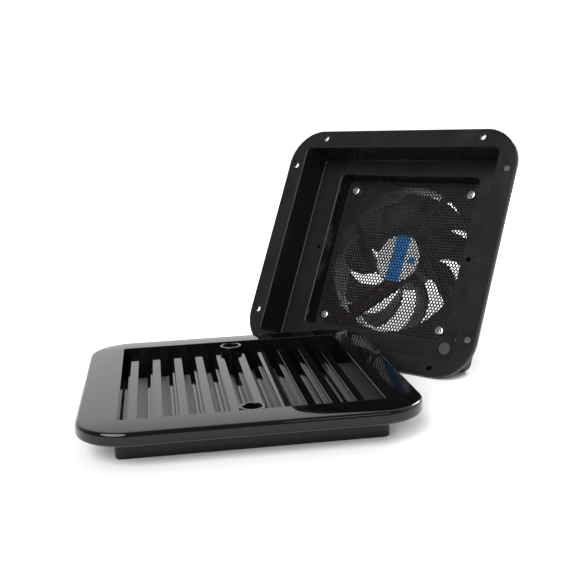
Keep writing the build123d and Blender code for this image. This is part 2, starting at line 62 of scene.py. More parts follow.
rim_corner = 29.0
rim_wall = 4.0
rim_plate = 2.8
rim_crown = 0.9              # fall of the rim's top from the opening to its edge
crown_shares = (0.35, 0.6, 0.8)     # places of the crown's rings, from the opening to the edge
rim_top_round = 2.6
rim_bottom_round = 2.0
collar_half_x = 75.7
collar_half_y = 77.9
collar_corner = 4.0
louvre_half_x = 73.3
louvre_half_y = 75.9
louvre_corner = 0.8
slat_count = 10
slat_pitch = 14.3
slat_first = -68.6
slat_top = 17.1
slat_step_top = 11.9         # the slat's left side steps out at each of these two levels
slat_step_bottom = 7.2
slat_bottom = 2.2
slat_width = 5.4
slat_side = 1.7              # these three count to the left of the top's left edge
slat_foot_right = 1.4
slat_foot_left = 4.0
slat_overlap = 0.5           # how far a slat runs into the frame at each end
boss_offset = 68.0
boss_radius = 7.6
boss_top = cover_height - 0.7
boss_bottom = 2.2
boss_centre = 0.4            # radius of the small flat at the middle of each of its ends
counterbore_radius = 5.3
counterbore_mouth = 5.85
counterbore_depth = 12.0
cover_screw_hole = 2.2

# ---- fan housing ---------------------------------------------------------------------
flange_half_x = 100.0
flange_half_y = 90.0
flange_corner = 28.0
flange_thickness = 3.5
flange_hole = 2.2
flange_seat = 4.6
flange_seat_depth = 0.7
flange_end_holes = (69.5, 84.0)     # from the flange's middle, along and up it
flange_side_holes = (93.3, 61.0)
opening_half_x = 85.0
opening_half_y = 76.7
opening_middle = 89.3
opening_corner = 4.0
tub_wall = 2.0
tub_back_margin = 8.0        # flat rim of the tub's back, outside the recess
tub_back_round = 4.3
ledge_depth = 26.0
ledge_back = 28.5
plug_place = (64.0, 24.6)
plug_hole = 3.0
plug_cap_radius = 4.5
plug_cap_height = 0.9
plug_waist_radius = 2.95
plug_barb_radius = 3.6
plug_end_radius = 3.2
plug_barb_length = 0.9
vent_place = (71.5, 32.3)
vent_hole = 1.3
pilot_offset = 68.0          # screw pilots in the ledge, either side of the fan's middle
pilot_radius = 1.5
pilot_depth = 9.5
pilot_boss_radius = 4.0
pilot_boss_front = 27.0
pilot_boss_back = 37.5
fan_centre_u = -2.0
fan_centre_v = 90.9
recess_half = 62.2
recess_corner = 3.5
seat_front = 38.7
seat_back = 40.2
seat_opening = 59.0
guard_half = 61.9
guard_corner = 8.4
guard_thickness = 1.0
guard_pitch = 2.6
guard_hole = 1.0
guard_border = 1.6
guard_middle = 20.0          # half width of the flat middle that both faces share
guard_screw_margin = 4.6     # no perforation nearer than this to a screw
perforation_sides = 12
screw_offset = 52.5
screw_hole = 2.2
screw_head_radius = 3.5
screw_head_height = 2.3
screw_length = 11.0
thread_radius = 1.95
thread_depth = 0.38
thread_pitch = 0.8
screw_tip_radius = 1.0

# ---- fan -----------------------------------------------------------------------------
fan_half = 60.0
fan_depth = 25.0
fan_corner = 5.0
fan_flange = 4.0
bore_radius = 58.2
ring_radius = 59.7
flare_start = 20.0
flare_radius = 59.0
strut_angle = 40.4
strut_offset = 19.25
strut_width = 4.3
lead_strut_offset = 15.2
lead_strut_width = 12.4
strut_front = 0.4
strut_back = 4.0
strut_length = 55.2
lead_angle = 224.3
lead_offset = 13.0
lead_start = 2.0             # along the leads, from the point nearest the axis
lead_channel_end = 78.0
lead_channel_half = 2.1
lead_channel_depth = 2.2
notch_start = 50.0
notch_end = 72.0
notch_half = 2.6
fan_screw_hole = 2.15
motor_base_radius = 19.8
motor_base_front = 0.4
motor_base_back = 3.4
bearing_tube_radius = 5.2
bearing_tube_bore = 4.0
bearing_tube_front = 2.0
bearing_tube_back = 17.5
label_band_angle = 86.6
label_band_half = 6.3
label_patch_across = (-15.6, -9.4)
label_patch_along = (-2.8, 2.0)
hub_radius = 19.4
hub_inner = 18.05
hub_front = 4.3
hub_end = 22.3               # inner face of the hub's closed end
hub_back = 24.3
hub_boss_radius = 3.6
hub_boss_front = 19.0
shaft_radius = 1.5
shaft_back = 23.2
blade_count = 9
blade_first = 287.2          # front edge of the first blade at the hub
blade_root = 18.7
blade_tip = 56.0
blade_lead = 4.5             # angle gained in proportion to the height above the hub
blade_sweep = 32.9           # angle lost with the square of that height
blade_reach = 38.0           # height above the hub at which the two above are full
blade_wrap = 31.0            # angle lost from front edge to back edge
blade_front = 6.2
blade_axial = 13.2
blade_bow = 0.03
blade_edge_half = 0.25
blade_swell = 0.62
blade_rings = 15
chord_steps = 12

# ---- local frames --------------------------------------------------------------------
MM = 0.001
axis_radius = 0.05           # smallest radius of a turned profile, next to its axis
spin = next(joint for joint in frame["joints"] if joint["name"] == "impeller_spin")
out_of_fan = Vector(spin["axis"]).normalized()
along_flange = Vector((0, 0, 1)).cross(out_of_fan).normalized()
up_flange = out_of_fan.cross(along_flange)
fan_origin = Vector(spin["pos_m"]) + out_of_fan * (fan_depth / 2 * MM)
housing_origin = (
    fan_origin
    + out_of_fan * (seat_back * MM)
    - along_flange * (fan_centre_u * MM)
    - up_flange * (fan_centre_v * MM)
)
turned = Matrix((along_flange, up_flange, out_of_fan)).transposed().to_4x4()
fan_space = Matrix.Translation(fan_origin) @ turned
housing_space = Matrix.Translation(housing_origin) @ turned
cover_low, cover_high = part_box("louvre_cover")
cover_middle = (cover_low + cover_high) / 2
cover_space = Matrix.Translation((cover_middle.x, cover_middle.y, 0))


# ---- building blocks -----------------------------------------------------------------
def softened(corners, steps=4):
    """Closed run of corners, each with a rounding length as its last value, as finer points."""
    points = []
    count = len(corners)
    for index, corner in enumerate(corners):
        here = np.array(corner[:-1], float)
        reach = corner[-1]
        if reach == 0:
            points.append(here)
            continue
        arms = []
        for neighbour in (corners[index - 1], corners[(index + 1) % count]):
            arm = np.array(neighbour[:-1], float) - here
            arms.append(arm * min(0.5, reach / np.abs(arm).max()))
        for step in range(steps + 1):
            angle = math.radians(90.0) * step / steps
            blend = arms[0] * (1 - math.sin(angle)) + arms[1] * (1 - math.cos(angle))
            points.append(here + blend)
    return points


def outline(centre_x, centre_y, half_x, half_y, radius, level, steps=12):
    """Rounded rectangle as a ring of points; a circle when the radius fills it."""
    ring = []
    for quarter in range(4):
        side_x = 1 if quarter in (0, 3) else -1
        side_y = 1 if quarter in (0, 1) else -1
        for step in range(steps + 1):
            angle = math.radians(90.0 * (quarter + step / steps))
            x = centre_x + side_x * (half_x - radius) + radius * math.cos(angle)
            y = centre_y + side_y * (half_y - radius) + radius * math.sin(angle)
            ring.append((x, y, level))
    return ring


def solid(rings, ring_shaped=False):
    """Mesh through rings of points: capped at both ends, or closed on itself."""
    shape = bmesh.new()
    rows = [[shape.verts.new(point) for point in ring] for ring in rings]
    pairs = list(zip(rows, rows[1:]))
    if ring_shaped:
        pairs.append((rows[-1], rows[0]))
    else:
        shape.faces.new(rows[0][::-1])
        shape.faces.new(rows[-1])
    for low, high in pairs:
        for index in range(len(low)):
            after = (index + 1) % len(low)
            shape.faces.new((low[index], low[after], high[after], high[index]))
    bmesh.ops.remove_doubles(shape, verts=shape.verts, dist=1e-4)
    bmesh.ops.recalc_face_normals(shape, faces=shape.faces)
    mesh = bpy.data.meshes.new("shape")
    shape.to_mesh(mesh)
    shape.free()
    return mesh


def turned_solid(profile, centre=(0.0, 0.0), steps=12, ring_shaped=False):
    """Round solid about an axis along z, from (radius, level) pairs."""
    rings = [outline(*centre, r, r, r, level, steps) for r, level in profile]
    return solid(rings, ring_shaped)


def merged(meshes):
    """Several separate meshes as one mesh."""
    shape = bmesh.new()
    for mesh in meshes:
        shape.from_mesh(mesh)
    mesh = bpy.data.meshes.new("shape")
    shape.to_mesh(mesh)
    shape.free()
    return mesh


def combined(base, others, operation):
    """The base mesh with the others joined to it or cut from it."""
    helpers = []
    for mesh in [base, *others]:
        helper = bpy.data.objects.new("helper", mesh)
        bpy.context.scene.collection.objects.link(helper)
        helpers.append(helper)
    for other in helpers[1:]:
        modifier = helpers[0].modifiers.new("step", "BOOLEAN")
        modifier.operation = operation
        modifier.solver = "MANIFOLD"
        modifier.object = other
    bpy.context.view_layer.update()
    depsgraph = bpy.context.evaluated_depsgraph_get()
    mesh = bpy.data.meshes.new_from_object(helpers[0].evaluated_get(depsgraph))
    for helper in helpers:
        bpy.data.objects.remove(helper)
    return mesh


def beside_axis(angle, distance, offset):
    """Place at a distance along a direction, on a line that passes the axis at an offset."""
    turn = math.radians(angle)
    x = distance * math.cos(turn) - offset * math.sin(turn)
    y = distance * math.sin(turn) + offset * math.cos(turn)
    return x, y


def piece(name, mesh, space, material, body, stands_for, sharp=32.0):
    """Puts a finished mesh into the row frame as a shown piece of the object."""
    mesh.transform(space @ Matrix.Scale(MM, 4))
    mesh.materials.clear()
    mesh.materials.append(material)
    mesh.shade_smooth()
    mesh.set_sharp_from_angle(angle=math.radians(sharp))
    obj = bpy.data.objects.new(name, mesh)
    bpy.context.scene.collection.objects.link(obj)
    normals = obj.modifiers.new("flat_faces_stay_flat", "WEIGHTED_NORMAL")
    normals.keep_sharp = True
    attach(obj, body)
    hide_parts(stands_for)
    return obj


slots = {row["node"]: row["material_slot"] for row in frame["record"]["subparts"]}


# ---- materials -----------------------------------------------------------------------
class Look:
    """One procedural material, with the coordinates of the row frame in metres."""

    def __init__(self, name):
        self.material = bpy.data.materials.new(name)
        self.material.use_nodes = True
        self.tree = self.material.node_tree
        self.shader = self.tree.nodes["Principled BSDF"]
        self.place = self.node("ShaderNodeTexCoord").outputs["Object"]

    def node(self, kind, **settings):
        made = self.tree.nodes.new(kind)
        for key, value in settings.items():
            setattr(made, key, value)
        return made

    def link(self, source, target):
        self.tree.links.new(source, target)

    def noise(self, scale, detail=3.0, stretch=None):
        """Noise from 0 to 1 about 0.5; scale is in features per metre."""
        texture = self.node("ShaderNodeTexNoise")
        texture.inputs["Scale"].default_value = scale
        texture.inputs["Detail"].default_value = detail
        if stretch is None:
            self.link(self.place, texture.inputs["Vector"])
        else:
            mapping = self.node("ShaderNodeMapping")
            mapping.inputs["Scale"].default_value = stretch
            self.link(self.place, mapping.inputs["Vector"])
            self.link(mapping.outputs["Vector"], texture.inputs["Vector"])
        return texture.outputs["Fac"]

    def spread(self, value, low, high, start=0.3, end=0.7):
        """Maps a noise to a range."""
        node = self.node("ShaderNodeMapRange")
        node.inputs["From Min"].default_value = start
        node.inputs["From Max"].default_value = end
        node.inputs["To Min"].default_value = low
        node.inputs["To Max"].default_value = high
        self.link(value, node.inputs["Value"])
        return node.outputs["Result"]

    def mixed(self, share, first, second):
        """Colour between two colours or colour sockets."""
        node = self.node("ShaderNodeMix", data_type="RGBA")
        self.link(share, node.inputs[0])
        for socket, colour in ((node.inputs[6], first), (node.inputs[7], second)):
            if isinstance(colour, tuple):
                socket.default_value = (*colour, 1.0)
            else:
                self.link(colour, socket)
        return node.outputs[2]

    def colour(self, share, first, second):
        self.link(self.mixed(share, first, second), self.shader.inputs["Base Color"])

    def roughness(self, value, low, high):
        self.link(self.spread(value, low, high), self.shader.inputs["Roughness"])

    def relief(self, value, depth_mm, strength=1.0):
        """Surface relief of about this depth from a noise."""
        bump = self.node("ShaderNodeBump")
        bump.inputs["Strength"].default_value = strength
        bump.inputs["Distance"].default_value = depth_mm * MM
        self.link(value, bump.inputs["Height"])
        self.link(bump.outputs["Normal"], self.shader.inputs["Normal"])

    def settings(self, **values):
        for key, value in values.items():
            socket = key.replace("_", " ").title().replace("Ior", "IOR")
            self.shader.inputs[socket].default_value = value


def moulded(name, dark, light, rough, specular, grain_scale, grain_mm, ior=1.5):
    """Moulded plastic or rubber: faint mottling, uneven gloss and a fine grain."""
    look = Look(name)
    look.colour(look.noise(38.0, 5.0), dark, light)
    look.roughness(look.noise(55.0, 6.0), *rough)
    look.relief(look.noise(grain_scale, 2.0), grain_mm)
    look.settings(specular_ior_level=specular, ior=ior)
    return look.material


def metal(name, dark, light, rough, grain_scale, grain_mm, stretch=None):
    """Bare metal with a drawn or rolled grain."""
    look = Look(name)
    look.colour(look.noise(220.0, 4.0, stretch), dark, light)
    look.roughness(look.noise(500.0, 4.0, stretch), *rough)
    look.relief(look.noise(grain_scale, 3.0, stretch), grain_mm)
    look.settings(metallic=1.0)
    return look.material


def label_look():
    """White printed paper with one plain blue band and a small blue patch."""
    look = Look("label_paper")
    across = label_ruler(look, label_band_angle + 90.0)
    along = label_ruler(look, label_band_angle)
    band = inside(look, across, -label_band_half, label_band_half)
    patch_across = inside(look, across, *label_patch_across)
    patch_along = inside(look, along, *label_patch_along)
    patch = look.node("ShaderNodeMath", operation="MULTIPLY")
    look.link(patch_across, patch.inputs[0])
    look.link(patch_along, patch.inputs[1])
    blue = look.node("ShaderNodeMath", operation="MAXIMUM")
    look.link(band, blue.inputs[0])
    look.link(patch.outputs[0], blue.inputs[1])
    paper = look.mixed(look.noise(150.0), (0.86, 0.87, 0.88), (0.95, 0.95, 0.96))
    ink = look.mixed(look.noise(240.0), (0.003, 0.2, 0.6), (0.006, 0.26, 0.72))
    look.colour(blue.outputs[0], paper, ink)
    look.roughness(look.noise(60.0), 0.28, 0.42)
    look.relief(look.noise(1800.0), 0.01)
    return look.material


def label_ruler(look, angle):
    """Distance in millimetres from the label's middle along one direction of its face."""
    turn = math.radians(angle)
    direction = along_flange * math.cos(turn) + up_flange * math.sin(turn)
    product = look.node("ShaderNodeVectorMath", operation="DOT_PRODUCT")
    product.inputs[1].default_value = direction / MM
    look.link(look.place, product.inputs[0])
    offset = look.node("ShaderNodeMath", operation="SUBTRACT")
    offset.inputs[1].default_value = direction.dot(fan_origin) / MM
    look.link(product.outputs["Value"], offset.inputs[0])
    return offset.outputs[0]


def inside(look, value, low, high):
    """1 where the value lies between two limits, else 0."""
    above = look.node("ShaderNodeMath", operation="GREATER_THAN")
    above.inputs[1].default_value = low
    below = look.node("ShaderNodeMath", operation="LESS_THAN")
    below.inputs[1].default_value = high
    both = look.node("ShaderNodeMath", operation="MULTIPLY")
    look.link(value, above.inputs[0])
    look.link(value, below.inputs[0])
    look.link(above.outputs[0], both.inputs[0])
    look.link(below.outputs[0], both.inputs[1])
    return both.outputs[0]


looks = {
    "housing_plastic": moulded(
        "housing_plastic",
        (0.006, 0.006, 0.0063),
        (0.008, 0.008, 0.0084),
        (0.2, 0.3),
        0.24,
        1400.0,
        0.015,
    ),
    "cover_plastic": moulded(
        "cover_plastic",
        (0.002, 0.002, 0.0022),
        (0.003, 0.003, 0.0033),
        (0.03, 0.06),
        0.38,
        900.0,
        0.001,
        1.46,
    ),
    "fan_plastic": moulded(
        "fan_plastic", (0.006, 0.006, 0.006), (0.009, 0.009, 0.009), (0.34, 0.46), 0.3, 1300.0, 0.02
    ),
    "mesh_steel": moulded(
        "mesh_steel",
        (0.003, 0.003, 0.003),
        (0.005, 0.005, 0.005),
        (0.34, 0.46),
        0.22,
        1500.0,
        0.015,
    ),
    "screw_steel": metal(
        "screw_steel", (0.4, 0.4, 0.41), (0.56, 0.56, 0.57), (0.16, 0.3), 1500.0, 0.01
    ),
    "plug_rubber": moulded(
        "plug_rubber", (0.028, 0.028, 0.029), (0.04, 0.04, 0.041), (0.6, 0.75), 0.25, 1200.0, 0.03
    ),
    "label_paper": label_look(),
    "board": moulded(
        "board", (0.01, 0.07, 0.03), (0.02, 0.11, 0.045), (0.3, 0.4), 0.5, 1000.0, 0.01
    ),
    "lamination_steel": metal(
        "lamination_steel", (0.38, 0.38, 0.4), (0.52, 0.52, 0.54), (0.35, 0.5), 900.0, 0.02
    ),
    "insulator_plastic": moulded(
        "insulator_plastic", (0.68, 0.67, 0.6), (0.76, 0.75, 0.69), (0.4, 0.5), 0.5, 900.0, 0.02
    ),
    "copper_wire": metal(
        "copper_wire", (0.6, 0.22, 0.09), (0.8, 0.36, 0.18), (0.22, 0.35), 3000.0, 0.08
    ),
    "bearing_bronze": metal(
        "bearing_bronze", (0.5, 0.36, 0.18), (0.65, 0.5, 0.28), (0.35, 0.5), 2500.0, 0.02
    ),
    "washer_plastic": moulded(
        "washer_plastic", (0.74, 0.72, 0.64), (0.8, 0.78, 0.7), (0.4, 0.5), 0.5, 900.0, 0.01
    ),
    "yoke_steel": metal(
        "yoke_steel", (0.45, 0.45, 0.47), (0.6, 0.6, 0.62), (0.28, 0.42), 900.0, 0.01
    ),
    "magnet_ferrite": moulded(
        "magnet_ferrite", (0.045, 0.04, 0.038), (0.06, 0.056, 0.052), (0.6, 0.75), 0.3, 1500.0, 0.03
    ),
    "shaft_steel": metal(
        "shaft_steel", (0.62, 0.62, 0.63), (0.75, 0.75, 0.76), (0.12, 0.22), 1500.0, 0.005
    ),
    "clip_plastic": moulded(
        "clip_plastic", (0.78, 0.78, 0.76), (0.86, 0.86, 0.84), (0.4, 0.5), 0.5, 900.0, 0.01
    ),
    "lead_red_pvc": moulded(
        "lead_red_pvc", (0.14, 0.012, 0.01), (0.2, 0.018, 0.014), (0.3, 0.42), 0.5, 900.0, 0.01
    ),
    "lead_black_pvc": moulded(
        "lead_black_pvc", (0.01, 0.01, 0.01), (0.016, 0.016, 0.016), (0.3, 0.42), 0.5, 900.0, 0.01
    ),
}


def paint_cad_nodes():
    """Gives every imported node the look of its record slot."""
    for node, obj in frame["nodes"].items():
        obj.data.materials.clear()
        obj.data.materials.append(looks[slots[node]])


# ---- louvred cover -------------------------------------------------------------------
def cover_frame():
    """Rim, collar and louvre opening as one ring of rounded rectangles."""
    plate_bottom = cover_height - rim_plate
    inner_half = rim_half - rim_wall
    inner_corner = rim_corner - rim_wall
    crown = []
    for share in crown_shares:
        half_x = louvre_half_x + (rim_half - louvre_half_x) * share
        half_y = louvre_half_y + (rim_half - louvre_half_y) * share
        level = cover_height - rim_crown * share**2
        crown.append((half_x, half_y, rim_corner * share, level, 0))
    corners = [
        (louvre_half_x, louvre_half_y, louvre_corner, cover_height, 0.5),
        *crown,
        (rim_half, rim_half, rim_corner, cover_height - rim_crown, rim_top_round),
        (rim_half, rim_half, rim_corner, collar_height, rim_bottom_round),
        (inner_half, inner_half, inner_corner, collar_height, 0.6),
        (inner_half, inner_half, inner_corner, plate_bottom, 0.6),
        (collar_half_x, collar_half_y, collar_corner, plate_bottom, 0.6),
        (collar_half_x, collar_half_y, collar_corner, 0.0, 1.6),
        (louvre_half_x, louvre_half_y, louvre_corner, 0.0, 0.5),
    ]
    rings = [outline(0, 0, *values, steps=14) for values in softened(corners, steps=7)]
    return solid(rings, ring_shaped=True)


def cover_slat(left):
    """One stepped slat, from its section; left is the left edge of its top."""
    section = [
        (left, slat_top, 0.35),
        (left + slat_width, slat_top, 0.35),
        (left - slat_foot_right, slat_bottom, 0.35),
        (left - slat_foot_left, slat_bottom, 0.3),
        (left - slat_foot_left, slat_step_bottom, 0.3),
        (left - slat_side, slat_step_bottom, 0.3),
        (left - slat_side, slat_step_top, 0.3),
        (left, slat_step_top, 0.3),
    ]
    points = softened(section, steps=3)
    reach = louvre_half_y + slat_overlap
    return solid([[(x, y, z) for x, z in points] for y in (-reach, reach)])


def cover_boss(side):
    """Screw boss, without its hole."""
    profile = softened(
        [
            (boss_centre, boss_bottom, 0),
            (boss_radius, boss_bottom, 0.4),
            (boss_radius, boss_top, 0.6),
            (boss_centre, boss_top, 0),
        ]
    )
    return turned_solid(profile, (0.0, side * boss_offset), steps=14)


def boss_hole(side):
    """Counterbore and screw hole, as the tool that cuts them."""
    seat = boss_top - counterbore_depth
    profile = [
        (cover_screw_hole, boss_bottom - 1.0),
        (cover_screw_hole, seat),
        (counterbore_radius, seat),
        (counterbore_radius, boss_top - 0.5),
        (counterbore_radius + 0.15, boss_top - 0.2),
        (counterbore_mouth, boss_top + 0.05),
        (counterbore_mouth, boss_top + 1.0),
    ]
    return turned_solid(profile, (0.0, side * boss_offset), steps=14)


def build_cover():
    slats = [cover_slat(slat_first + slat_pitch * index) for index in range(slat_count)]
    bosses = [cover_boss(-1), cover_boss(1)]
    mesh = combined(cover_frame(), slats + bosses, "UNION")
    mesh = combined(mesh, [boss_hole(-1), boss_hole(1)], "DIFFERENCE")
    look = looks["cover_plastic"]
    piece("cover_moulding", mesh, cover_space, look, "louvre_cover", "louvre_cover")


# ---- fan housing ---------------------------------------------------------------------
def housing_shell():
    """Flange, tub, ledge, recess and fan seat as one ring of rounded rectangles."""
    flange = (0, flange_half_y, flange_half_x, flange_half_y, flange_corner)
    opening = (0, opening_middle, opening_half_x, opening_half_y, opening_corner)
    tub = (
        0,
        opening_middle,
        opening_half_x + tub_wall,
        opening_half_y + tub_wall,
        opening_corner + tub_wall,
    )
    tub_inner = (0, opening_middle, tub[2] - tub_back_margin, tub[3] - tub_back_margin, 1.0)
    recess = (fan_centre_u, fan_centre_v, recess_half, recess_half, recess_corner)
    recess_back = (
        fan_centre_u,
        fan_centre_v,
        recess_half + tub_wall,
        recess_half + tub_wall,
        recess_corner + tub_wall,
    )
    seat = (fan_centre_u, fan_centre_v, seat_opening, seat_opening, seat_opening)
    corners = [
        (*flange, 0.0, 1.0),
        (*opening, 0.0, 1.3),
        (*opening, -ledge_depth, 0.8),
        (*recess, -ledge_depth, 0.9),
        (*recess, -seat_front, 0.6),
        (*seat, -seat_front, 0.4),
        (*seat, -seat_back, 0),
        (*recess_back, -seat_back, 0.6),
        (*recess_back, -ledge_back, 0.6),
        (*tub_inner, -ledge_back, 0),
        (*tub, -ledge_back, tub_back_round),
        (*tub, -flange_thickness, 0.8),
        (*flange, -flange_thickness, 0.5),
    ]
    rings = [outline(*values, steps=16) for values in softened(corners, steps=5)]
    return solid(rings, ring_shaped=True)


def flange_hole_places():
    """The eight screw places in the flange."""
    places = []
    for side in (-1, 1):
        for level in (-1, 1):
            for along, up in (flange_end_holes, flange_side_holes):
                places.append((side * along, flange_half_y + level * up))
    return places


def fan_screw_places(u=0.0, v=0.0):
    """The four screw places around the fan axis."""
    signs = [(side, level) for side in (-1, 1) for level in (-1, 1)]
    return [(u + side * screw_offset, v + level * screw_offset) for side, level in signs]


def flange_hole_tool(place):
    """Seat and screw hole in the flange, as the tool that cuts them."""
    profile = [
        (flange_seat + 0.6, 0.6),
        (flange_seat + 0.4, 0.05),
        (flange_seat + 0.1, -0.15),
        (flange_seat, -flange_seat_depth),
        (flange_hole + 0.3, -flange_seat_depth),
        (flange_hole, -1.0),
        (flange_hole, -flange_thickness - 1.5),
    ]
    return turned_solid(profile, place, steps=9)


def pilot_boss(place):
    """Blind boss behind the ledge, before its hole is cut."""
    profile = [
        (axis_radius, -pilot_boss_front),
        (pilot_boss_radius, -pilot_boss_front),
        (pilot_boss_radius, 0.4 - pilot_boss_back),
        (pilot_boss_radius - 0.4, -pilot_boss_back),
        (axis_radius, -pilot_boss_back),
    ]
    return turned_solid(profile, place)


def pilot_tool(place):
    """Blind pilot hole with a small lead-in, as the tool that cuts it."""
    profile = [
        (pilot_radius + 0.9, 0.4 - ledge_depth),
        (pilot_radius + 0.4, -0.1 - ledge_depth),
        (pilot_radius, -0.6 - ledge_depth),
        (pilot_radius, -pilot_depth - ledge_depth),
    ]
    return turned_solid(profile, place, steps=7)


def drill(place, radius, start, end):
    """Plain round hole, as the tool that cuts it."""
    return turned_solid([(radius, start), (radius, end)], place, steps=7)


def seat_notch():
    """Notch in the fan seat over the leads, as the tool that cuts it."""
    rings = []
    for level in (1.0 - seat_front, -1.0 - seat_back):
        ring = []
        for distance, side in (
            (notch_start, -notch_half),
            (notch_end, -notch_half),
            (notch_end, notch_half),
            (notch_start, notch_half),
        ):
            x, y = beside_axis(lead_angle, distance, lead_offset + side)
            ring.append((fan_centre_u + x, fan_centre_v + y, level))
        rings.append(ring)
    return solid(rings)


def build_housing():
    holes = [flange_hole_tool(place) for place in flange_hole_places()]
    bosses = []
    for side in (-1, 1):
        place = (fan_centre_u + side * pilot_offset, fan_centre_v)
        bosses.append(pilot_boss(place))
        holes.append(pilot_tool(place))
    for place, radius in ((plug_place, plug_hole), (vent_place, vent_hole)):
        holes.append(drill(place, radius, 1.0 - ledge_depth, -1.5 - ledge_back))
    for place in fan_screw_places(fan_centre_u, fan_centre_v):
        holes.append(drill(place, screw_hole, 1.0 - seat_front, -1.0 - seat_back))
    holes.append(seat_notch())
    mesh = combined(housing_shell(), bosses, "UNION")
    mesh = combined(mesh, [merged(holes)], "DIFFERENCE")
    look = looks["housing_plastic"]
    piece("housing_moulding", mesh, housing_space, look, "housing", "housing_casing")


def build_plug():
    """Rubber plug: domed cap, waist and barb."""
    profile = softened(
        [
            (axis_radius, plug_cap_height - ledge_depth, 0),
            (plug_cap_radius, plug_cap_height - ledge_depth, 0.6),
            (plug_cap_radius, -ledge_depth, 0.2),
            (plug_waist_radius, -ledge_depth, 0.2),
            (plug_waist_radius, -ledge_back, 0.2),
            (plug_barb_radius, -ledge_back, 0.2),
            (plug_end_radius, -ledge_back - plug_barb_length, 0.3),
            (axis_radius, -ledge_back - plug_barb_length, 0),
        ],
        steps=5,
    )
    mesh = turned_solid(profile, plug_place, steps=10)
    look = looks["plug_rubber"]
    piece("ledge_plug_rubber", mesh, housing_space, look, "housing", "ledge_plug")


# ---- perforated guard and its screws -------------------------------------------------
def perforation_places():
    """Centres of the guard's small holes, staggered row by row."""
    row_step = guard_pitch * math.sqrt(3) / 2
    reach = guard_half - guard_border - guard_hole
    rows = int(reach // row_step)
    columns = int(reach // guard_pitch) + 1
    corner = reach - guard_corner + 2 * guard_hole
    places = []
    for row in range(-rows, rows + 1):
        shift = guard_pitch / 2 if row % 2 else 0.0
        for column in range(-columns, columns + 1):
            x = column * guard_pitch + shift
            y = row * row_step
            in_corner = abs(x) > corner and abs(y) > corner
            near = min(math.hypot(x - sx, y - sy) for sx, sy in fan_screw_places())
            if abs(x) <= reach and not in_corner and near > guard_screw_margin:
                places.append((x, y))
    return places


def perforations(front, back):
    """All the guard's small holes, as the tool that cuts them."""
    sides = perforation_sides
    shape = bmesh.new()
    for x, y in perforation_places():
        rings = []
        for level in (front, back):
            ring = []
            for side in range(sides):
                angle = 2 * math.pi * side / sides
                around = (x + guard_hole * math.cos(angle), y + guard_hole * math.sin(angle))
                ring.append(shape.verts.new((*around, level)))
            rings.append(ring)
        near, far = rings
        shape.faces.new(near)
        shape.faces.new(far[::-1])
        for side in range(sides):
            after = (side + 1) % sides
            shape.faces.new((near[after], near[side], far[side], far[after]))
    mesh = bpy.data.meshes.new("shape")
    shape.to_mesh(mesh)
    shape.free()
    return mesh


def build_guard():
    back = seat_back - seat_front
    front = back + guard_thickness
    middle = (0, 0, guard_middle, guard_middle, 5)
    plate = (0, 0, guard_half, guard_half, guard_corner)
    corners = [
        (*middle, front, 0),
        (*plate, front, 0.15),
        (*plate, back, 0.15),
        (*middle, back, 0),
    ]
    rings = [outline(*values, steps=8) for values in softened(corners, steps=2)]
    tools = [drill(place, screw_hole, front + 1, back - 1) for place in fan_screw_places()]
    tools.append(perforations(front + 1, back - 1))
    mesh = combined(solid(rings), [merged(tools)], "DIFFERENCE")
    look = looks["mesh_steel"]
    piece("perforated_guard", mesh, fan_space, look, "housing", "mesh_guard")


def screw_body(seat):
    """Pan-head screw with a real thread; seat is the level under its head."""
    around = 28
    steps_per_turn = 8
    top = seat + screw_head_height
    head = [
        (0.02, top, 0),
        (screw_head_radius, top, 1.1),
        (screw_head_radius, seat, 0.2),
        (1.6, seat, 0),
    ]
    rings = [(radius, level, 0.0) for radius, level in softened(head, steps=6)]
    count = int(screw_length / thread_pitch * steps_per_turn)
    for step in range(1, count):
        rings.append((thread_radius, seat - screw_length * step / count, 1.0))
    rings.append((screw_tip_radius, seat - screw_length, 0.0))
    points = []
    for radius, level, threaded in rings:
        row = []
        for index in range(around):
            angle = 2 * math.pi * index / around
            phase = (level / thread_pitch + index / around) % 1.0
            reach = radius - thread_depth * abs(2 * phase - 1) * threaded
            row.append((reach * math.cos(angle), reach * math.sin(angle), level))
        points.append(row)
    return solid(points)


def cross_recess(seat):
    """Tapered cross, as the tool that cuts it into the screw's head."""
    top = seat + screw_head_height + 0.3
    bottom = seat + 0.9
    bars = []
    for turn in (20.0, 110.0):
        rings = []
        for level, long_half, wide_half in ((bottom, 0.7, 0.35), (top, 2.1, 0.5)):
            ring = []
            for x, y in ((-1, -1), (1, -1), (1, 1), (-1, 1)):
                ring.append((*beside_axis(turn, x * long_half, y * wide_half), level))
            rings.append(ring)
        bars.append(solid(rings))
    return combined(bars[0], [bars[1]], "UNION")


def build_screws():
    seat = seat_back - seat_front + guard_thickness
    look = looks["screw_steel"]
    for number, (x, y) in enumerate(fan_screw_places()):
        mesh = combined(screw_body(seat), [cross_recess(seat)], "DIFFERENCE")
        mesh.transform(Matrix.Translation((x, y, 0)) @ Matrix.Rotation(0.9 * number, 4, "Z"))
        piece(f"guard_screw_{number + 1}", mesh, fan_space, look, "housing", "guard_screws")


